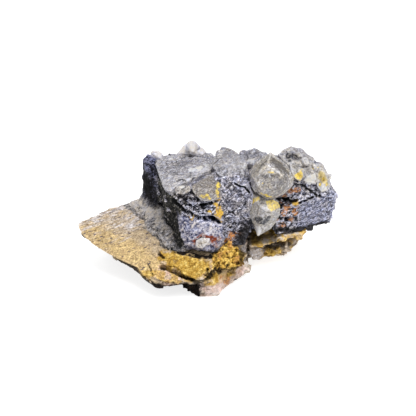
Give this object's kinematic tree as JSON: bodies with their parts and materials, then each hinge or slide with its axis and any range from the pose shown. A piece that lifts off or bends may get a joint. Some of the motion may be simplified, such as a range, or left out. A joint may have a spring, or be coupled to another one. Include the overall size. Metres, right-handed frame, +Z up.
{
  "type": "galena specimen with crystals on matrix",
  "caption": "Galena hand specimen: a block of grey metallic ore with clear crystals set in it, on a tilted bed of yellow ochre rock, cut flat to rest.",
  "frame": {"origin": "the middle of the bounding box, on the surface that the specimen rests on", "axes": "+X along the specimen's length, from the bare rock towards the ore; +Y away from the crystal side; +Z up"},
  "size_m": [0.1004, 0.0566, 0.0505],
  "materials": {
    "ochre_rock": "dull, gritty tan and yellow ochre rock, with dark specks and pinkish and white patches",
    "galena_ore": "blue-grey metallic ore with bright cleavage steps, dark pits and rusty stains",
    "grey_crystal": "see-through grey-beige crystal with veils, worn faces and yellow dust in the seams",
    "pale_crystal": "see-through cream-white crystal with a milky inside"
  },
  "bodies": {
    "root": {"ochre_matrix": "ochre_rock", "galena": "galena_ore", "front_crystal": "grey_crystal", "lower_crystal": "grey_crystal", "centre_crystal": "grey_crystal", "left_top_crystal": "grey_crystal", "left_face_crystal": "grey_crystal", "right_top_crystals": "grey_crystal", "back_centre_crystal": "grey_crystal", "back_left_crystal": "pale_crystal", "far_left_crystal": "pale_crystal", "small_edge_crystal": "pale_crystal", "small_lower_crystal": "pale_crystal"}
  },
  "joints": []
}
